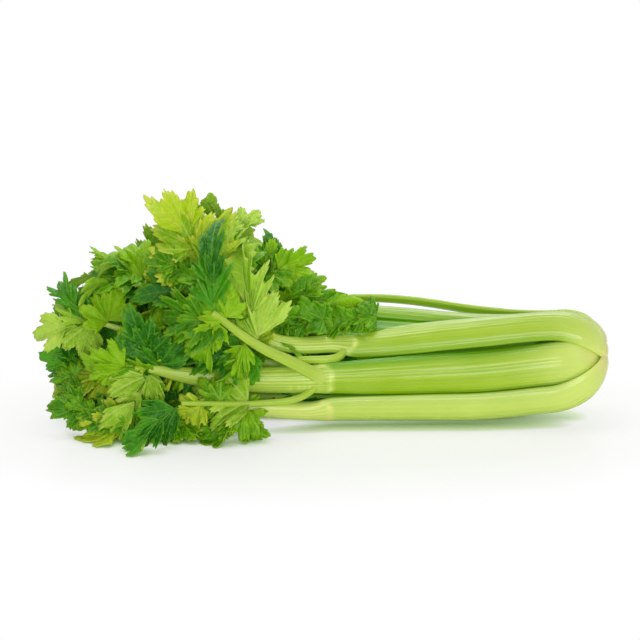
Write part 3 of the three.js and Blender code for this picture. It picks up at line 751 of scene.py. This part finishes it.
# the blades of a leaflet: (base along, direction in radians, length, fan half-angle, lift in millimetres),
# lengths as shares of the leaflet's
leafBlades = [(0.44, 0.0, 0.60, 1.05, 0.6), (0.27, 0.62, 0.52, 1.0, -0.4), (0.31, -0.58, 0.50, 1.0, 0.1),
    (0.05, 0.98, 0.64, 0.95, -1.0), (0.08, -0.94, 0.66, 0.95, -1.4)]
youngBlades = [(0.30, 0.0, 0.72, 1.1, 0.4), (0.05, 0.80, 0.70, 1.0, -0.4), (0.08, -0.78, 0.72, 1.0, -0.4)]
leafSettings = {
    "columns": 84, "rows": 9, "thickness": 0.4, "body": 0.56, "teeth": 15, "toothDepth": 0.11,
    "ruffle": 0.09, "lowest": 0.6, "tilt": 0.42, "roll": 0.5, "puff": 0.6, "uvLength": 42}


def toothedRim(across, number):
    # the farthest of the lobes and the blade's body along each ray of the fan, cut into blunt teeth that lean
    # towards the tip
    h = leafSettings
    rim = h["body"] * (1 - 0.3 * across ** 2)
    for k, (place, length, width) in enumerate(leafLobes):
        for way in ((-1, 1) if place else (1,)):
            trait = 20 + 2 * k + (way > 0)
            centre = way * place + 0.06 * vary(number, trait)
            size = length * (1 + 0.12 * vary(number, trait + 40))
            d = np.abs(across - centre) / (width * (1 + 0.2 * vary(number, trait + 80)))
            rim = np.maximum(rim, size * (1 - 0.38 * d ** 1.8))
    run = (0.5 * h["teeth"] * (np.abs(across) + 0.05 * np.sin(7 * across + number))) % 1
    tooth = np.minimum(run / 0.35, (1 - run) / 0.65)
    return rim * (1 - h["toothDepth"] * (1 - tooth) ** 1.3)


def drape(leaf, x, flat, raised):
    # a flat point folded along the leaflet's midrib, cupped across, twisted and curled along its length, then
    # laid on the table where it would go through
    roll, turn = leaf["twist"] * x, leaf["curl"] * x
    high = leaf["fold"] * np.sqrt(flat ** 2 + 4) - leaf["cup"] * flat ** 2 + raised
    y = flat * np.cos(roll) - high * np.sin(roll)
    away = 1 / leaf["curl"] + flat * np.sin(roll) + high * np.cos(roll)
    points = (leaf["base"] + leaf["forward"] * (away * np.sin(turn))[..., None] + leaf["side"] * y[..., None]
        + leaf["face"] * (away * np.cos(turn) - 1 / leaf["curl"])[..., None])
    grip = head["tableGrip"]
    low = leafSettings["lowest"] + grip
    pressed = leafSettings["lowest"] + grip * np.exp(np.minimum(points[..., 2] - low, 0) / grip)
    points[..., 2] = np.where(points[..., 2] < low, pressed, points[..., 2])
    return points + shift


def leafForm(base, forward, face, length, fold, curl, cup, twist):
    # a leaflet's place, axes and form; curl, cup and twist are for its whole length
    return {"base": base, "forward": forward, "face": face, "side": np.cross(face, forward), "length": length,
        "fold": fold, "curl": curl / length, "cup": cup / length, "twist": twist / length,
        "spread": head["leafSpread"], "sway": 0.0}


def squareFace(face, forward):
    return unitRows(face - forward * face.dot(forward))


def leafPlace(face, aim, lean, number, base, length):
    # the face turned a little round the way that the leaflet points
    up, front = math.radians(aim), math.radians(lean)
    forward = np.array([math.cos(up) * math.cos(front), -math.sin(front), math.sin(up) * math.cos(front)])
    face = squareFace(np.array(face, float), forward)
    angle = 0.35 * vary(number, 1)
    face = face * math.cos(angle) + np.cross(forward, face) * math.sin(angle)
    return leafForm(base, forward, face, length, 0.28 + 0.2 * vary(number, 2), 0.75 + 0.4 * vary(number, 3),
        0.35 + 0.3 * vary(number, 4), 0.35 * vary(number, 5))


def turned(a, b, angle):
    # the point (a, b) turned by the angle
    return a * math.cos(angle) - b * math.sin(angle), a * math.sin(angle) + b * math.cos(angle)


def bladeSheet(leaf, blade, number, columns, rows):
    # one blade: a toothed fan round its base, folded on its midrib, ruffled towards its rim, and tilted and
    # rolled off the leaflet's surface
    h = leafSettings
    along, direction, size, fan, lift = blade
    narrow = leaf["spread"] / head["leafSpread"]  # a leaflet that spreads less has its blades closer
    fan = fan * mixValue(1, narrow, 0.8)
    shorter = mixValue(1, narrow, 0.6 * min(abs(direction), 1))
    length = leaf["length"] * size * (1 + 0.08 * vary(number, 14)) * shorter
    across = np.linspace(-1, 1, columns)[None, :]
    share = (np.linspace(0, 1, rows) ** 0.85)[:, None]
    direction = direction * narrow * (1 + 0.15 * vary(number, 15)) + 0.08 * vary(number, 18) + leaf["sway"]
    far = share * length * toothedRim(across, number)
    localX, localY = far * np.cos(across * fan), far * np.sin(across * fan)
    uv = np.stack([localX, localY], axis=-1) / h["uvLength"]
    waves = (0.7 * np.sin(2 * np.pi * (1.6 * across + vary(number, 11)))
        + 0.3 * np.sin(2 * np.pi * (3.3 * across + vary(number, 12))))
    ownFold = (0.32 + 0.3 * vary(number, 16)) * (np.sqrt(localY ** 2 + 2) - 1.4)
    ownCurl = -(0.35 + 0.35 * vary(number, 17)) * localX * np.abs(localX) / length
    puff = h["puff"] * waveNoise(localX / 4, localY / 4, 300 + number, 3) * easeStep(share * 2)
    high = h["ruffle"] * length * share ** 2 * waves + ownFold + ownCurl + puff
    localY, high = turned(localY, high, h["roll"] * vary(number, 20))
    bentX, high = turned(localX, high, h["tilt"] * (0.35 + 0.65 * vary(number, 19)))
    bentX, flat = turned(bentX, localY, direction)
    return drape(leaf, leaf["length"] * along + bentX, flat, lift + high), uv, share + 0 * across


def leafPiece(name, leaves, tone, blades, s):
    # the blades' sheets of one or more leaflets joined in one mesh, thickened both ways
    rows, columns = s["rows"], s["columns"]
    grid = np.arange(rows * columns).reshape(rows, columns)
    quads = np.stack([grid[:-1, :-1], grid[1:, :-1], grid[1:, 1:], grid[:-1, 1:]], axis=-1).reshape(-1, 4)
    verts, faces, uvs, rims, tints = [], [], [], [], []
    for number, leaf in leaves:
        for k, blade in enumerate(blades):
            seed = 5 * number + k
            points, uv, rim = bladeSheet(leaf, blade, seed, columns, rows)
            faces.append(quads + len(faces) * rows * columns)
            verts.append(points.reshape(-1, 3))
            uvs.append(uv.reshape(-1, 2)[quads.reshape(-1)])
            rims.append(rim.ravel())
            tints.append(np.full(rows * columns, vary(seed, 7)))
    masks = {"rim": np.concatenate(rims), "tint": np.concatenate(tints)}
    sides = [leafSkins["leaf" + tone.capitalize()], leafSkins["leafUnder"]]
    verts, faces, uvs = [np.concatenate(arrays) for arrays in (verts, faces, uvs)]
    piece = newPiece(name, verts, faces.tolist(), "blade", uvs, masks, sides)
    wall = piece.modifiers.new("thickness", "SOLIDIFY")
    wall.thickness = leafSettings["thickness"] * mm
    wall.offset = 0
    wall.material_offset = 1
    return piece


number = 0
for sprayNumber, (sprayName, s) in enumerate(sprays.items()):
    route, radius = sprayStem(s)
    if "route" in s:
        stem = stemPiece(camel("stem_" + sprayName), route, radius, sprayNumber)
        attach(stem, "root")
        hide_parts(s["stalk"])
    for k, (where, aim, lean, length, tone, *own) in enumerate(s["leaflets"]):
        leaf = leafPlace(s["face"], aim, lean, number, routePoints(route, [where])[0], length)
        leaf["base"] = leaf["base"] + leaf["forward"] * 0.6 * mixValue(*radius, where)
        leaf.update(*own)
        node = f"leaflet_{sprayName}_{k + 1}"
        piece = leafPiece(camel(node), [(number, leaf)], leaf.get("skin", tone), leafBlades, leafSettings)
        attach(piece, "root")
        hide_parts(node)
        number += 1
print("leaflets made:", number)

# young leaflets along every stem: from and to are shares of the stem's way, fewer has (from, count) for some
youngSettings = {
    "from": 0.25, "to": 0.98, "perSpray": 10, "length": (22, 38), "columns": 44, "rows": 7,
    "keepAbove": 4.0, "turn": 2.4,  # the golden angle
    "fewer": {"front_upper": (0.75, 1), "front_lower": (0.8, 2), "front_middle": (0.62, 5),
        "top_front": (0.5, 5), "top_side": (0.7, 3), "bottom_front": (0.62, 5),
        "heart_front": (0.03, 14), "heart_top": (0.05, 13), "heart_bottom": (0.08, 12)}}


def youngLeaves(sprayNumber, sprayName, s, route, radius):
    # leaflets at even steps, each aimed away from the root and turned round the stem by the golden angle
    made = []
    h = youngSettings
    start, count = h["fewer"].get(sprayName, (h["from"], h["perSpray"]))
    for k in range(count):
        seed = 200 + 10 * sprayNumber + k
        where = mixValue(start, h["to"], (k + 0.5 + 0.4 * vary(seed, 1)) / count)
        here, ahead = routePoints(route, [where, min(where + 0.02, 1)])
        stemWay = unitRows(ahead - here)
        up = unitRows(np.array([0.0, 0.0, 1.0]) - stemWay * stemWay[2])
        turn = h["turn"] * k + sprayNumber
        outward = up * math.cos(turn) + np.cross(stemWay, up) * math.sin(turn)
        if sprayName in h["fewer"]:  # these keep the front of the stems bare
            outward[1] = abs(outward[1])
        forward = unitRows(0.75 * stemWay + 0.75 * outward + np.array([0.0, 0.0, 0.25]))
        face = squareFace(np.array(s["face"], float) + 0.5 * outward, forward)
        length = mixValue(*h["length"], 0.5 + 0.5 * vary(seed, 2))
        base = here + forward * 0.6 * mixValue(*radius, where)
        if base[2] < h["keepAbove"]:
            continue
        form = (0.35 + 0.25 * vary(seed, 3), 0.8 + 0.5 * vary(seed, 4), 0.3 + 0.3 * vary(seed, 5),
            0.5 * vary(seed, 6))
        made.append((seed, leafForm(base, forward, face, length, *form)))
    return made


for sprayNumber, (sprayName, s) in enumerate(sprays.items()):
    made = youngLeaves(sprayNumber, sprayName, s, *sprayStem(s))
    for k, tone in enumerate(("green", "yellow", "dark")):
        if made[k::3]:
            name = camel("young_" + sprayName) + str(k + 1)
            piece = leafPiece(name, made[k::3], tone, youngBlades, youngSettings)
            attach(piece, "root")

# small leaflets inside the bundle and the mass of leaves: each route has (tone, count, points). The dark ones
# between the stems partly paint the shade there
tuckedSettings = {
    "length": (18, 27), "columns": 30, "rows": 6, "fold": 0.3, "curl": 0.8, "cup": 0.3,
    "twist": 0.3}
tuckedRoutes = {
    "tuckedTop": ("mid", 13, [(-34, -19, 80), (10, -19, 83), (46, -17, 85)]),
    "tuckedUpper": ("dark", 16, [(-74, 12, 62), (-34, 10, 54), (30, 2, 49)]),
    "tuckedMiddle": ("dark", 16, [(-84, -8, 44), (-50, -2, 38), (-14, 4, 36)]),
    "tuckedLower": ("dark", 16, [(-84, -6, 24), (-44, 2, 19), (20, 0, 17)]),
    "tuckedSide": ("mid", 22, [(-192, -6, 76), (-152, 0, 104), (-92, 4, 124)]),
    "tuckedCorner": ("mid", 14, [(-188, -26, 44), (-182, -46, 22), (-136, -66, 13)]),
    "tuckedBottom": ("green", 14, [(-158, -56, 12), (-104, -62, 11), (-44, -42, 9)]),
    "tuckedFace": ("mid", 9, [(-92, -46, 120), (-110, -50, 133), (-80, -54, 114)]),
    "tuckedEnd": ("dark", 14, [(-186, -6, 66), (-190, -20, 36), (-150, -40, 14)]),
}


def tuckedLeaves(s, count, route, first):
    # leaflets at even steps on the route, their tips swept away from the root, some tilted up and some down
    made = []
    for seed in range(first, first + count):
        base = routePoints(route, [(seed - first + 0.5 + 0.4 * vary(seed, 1)) / count])[0]
        forward = unitRows(np.array([-0.8, 0.25 * vary(seed, 2), 0.5 * vary(seed, 3)]))
        face = squareFace(np.array([0.2 * vary(seed, 4), -1.0, 0.4 + 0.3 * vary(seed, 5)]), forward)
        length = mixValue(*s["length"], 0.5 + 0.5 * vary(seed, 6))
        form = (s["fold"], s["curl"], s["cup"], s["twist"] * vary(seed, 7))
        made.append((seed, leafForm(base, forward, face, length, *form)))
    return made


for k, (name, (tone, count, route)) in enumerate(tuckedRoutes.items()):
    leaves = tuckedLeaves(tuckedSettings, count, route, 700 + 40 * k)
    piece = leafPiece(name, leaves, tone, youngBlades, tuckedSettings)
    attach(piece, "root")
print("young leaflets made")


# white: the share of plain white that the camera sees on the floor, from nearHead to farOff metres away.
# contact: how close the head paints a contact shadow on it, dimmed and tinted green as painted light thrown
# from the celery. The floor colour's faint green is painted light from the celery too
stageSettings = {
    "floor": (0.94, 0.98, 0.86), "roughness": 0.3, "specular": 1.0, "halfSize": 6,
    "white": 0.7, "nearHead": 0.11, "farOff": 0.23, "narrow": 0.62, "contact": 0.013,
    "contactPower": 1.2, "tint": (0.5, 0.95, 0.1), "world": 0.36}
# energy, place, size, target
lights = {
    "key": (4.8, (-0.1, 0.12, 1.1), (0.7, 0.5), (0, 0, 0.06)),
    "fill": (6.7, (0.15, -1.3, 0.31), (0.9, 0.45), (0.0, 0, 0.05)),
    "back": (2.0, (0.2, 0.9, 0.8), (0.6, 0.4), (0, 0, 0.06))}


def floorSurface(tree, s):
    # a light floor, faintly green as painted light from the celery; the camera sees a share of plain white on
    # it, all of it far off, dimmed and tinted green near the head as a painted contact shadow
    skin = newNode(tree, "ShaderNodeBsdfPrincipled", {
        "Base Color": (*s["floor"], 1), "Roughness": s["roughness"], "Specular IOR Level": s["specular"]})
    camera = newNode(tree, "ShaderNodeLightPath").outputs["Is Camera Ray"]
    oval = vectorNode(tree, "MULTIPLY", ownPlace(tree), (s["narrow"], 1.0, 1.0))
    away = vectorNode(tree, "LENGTH", oval, result="Value")
    white = rampValue(tree, away, s["nearHead"], s["farOff"], s["white"], 1.0)
    # painted contact shadow: close to the head the white dims and turns green
    near = newNode(tree, "ShaderNodeAmbientOcclusion", {"Distance": s["contact"]}, samples=8).outputs["AO"]
    tinted = mixColor(tree, near, s["tint"], (1.0, 1.0, 1.0))
    glow = newNode(tree, "ShaderNodeEmission", {"Color": tinted, "Strength": 1.0})
    white = times(tree, white, mathNode(tree, "POWER", near, s["contactPower"]))
    return mixShader(tree, times(tree, camera, white), skin.outputs[0], glow.outputs[0])


def makeFloor(s):
    mesh = bpy.data.meshes.new("floor")
    size = s["halfSize"]
    corners = [(-size, -size, 0), (size, -size, 0), (size, size, 0), (-size, size, 0)]
    mesh.from_pydata(corners, [], [(0, 1, 2, 3)])
    floor = bpy.data.objects.new("floor", mesh)
    scene.collection.objects.link(floor)
    mesh.materials.append(newMaterial("floorWhite", floorSurface, s))


def makeWorld(dim):
    # white to the camera and in reflections, dim as a light
    world = bpy.data.worlds.new("studio")
    scene.world = world
    world.use_nodes = True
    tree = world.node_tree
    tree.nodes.clear()
    path = newNode(tree, "ShaderNodeLightPath").outputs
    seen = mathNode(tree, "MAXIMUM", path["Is Glossy Ray"], path["Is Transmission Ray"])
    seen = mathNode(tree, "MAXIMUM", path["Is Camera Ray"], seen)
    strength = plus(tree, dim, times(tree, seen, 1 - dim))
    sky = newNode(tree, "ShaderNodeBackground", {"Color": (1, 1, 1, 1), "Strength": strength})
    newNode(tree, "ShaderNodeOutputWorld", {0: sky.outputs[0]})


def areaLight(name, energy, place, size, target):
    data = bpy.data.lights.new(name, "AREA")
    data.energy = energy
    data.shape = "RECTANGLE"
    data.size, data.size_y = size
    light = bpy.data.objects.new(name, data)
    scene.collection.objects.link(light)
    light.location = place
    x, y, z = np.array(target) - np.array(place)
    light.rotation_euler = (math.atan2(math.hypot(x, y), -z), 0, math.atan2(y, x) - math.pi / 2)


makeFloor(stageSettings)
makeWorld(stageSettings["world"])
for name, values in lights.items():
    areaLight(name, *values)
print("stage made")
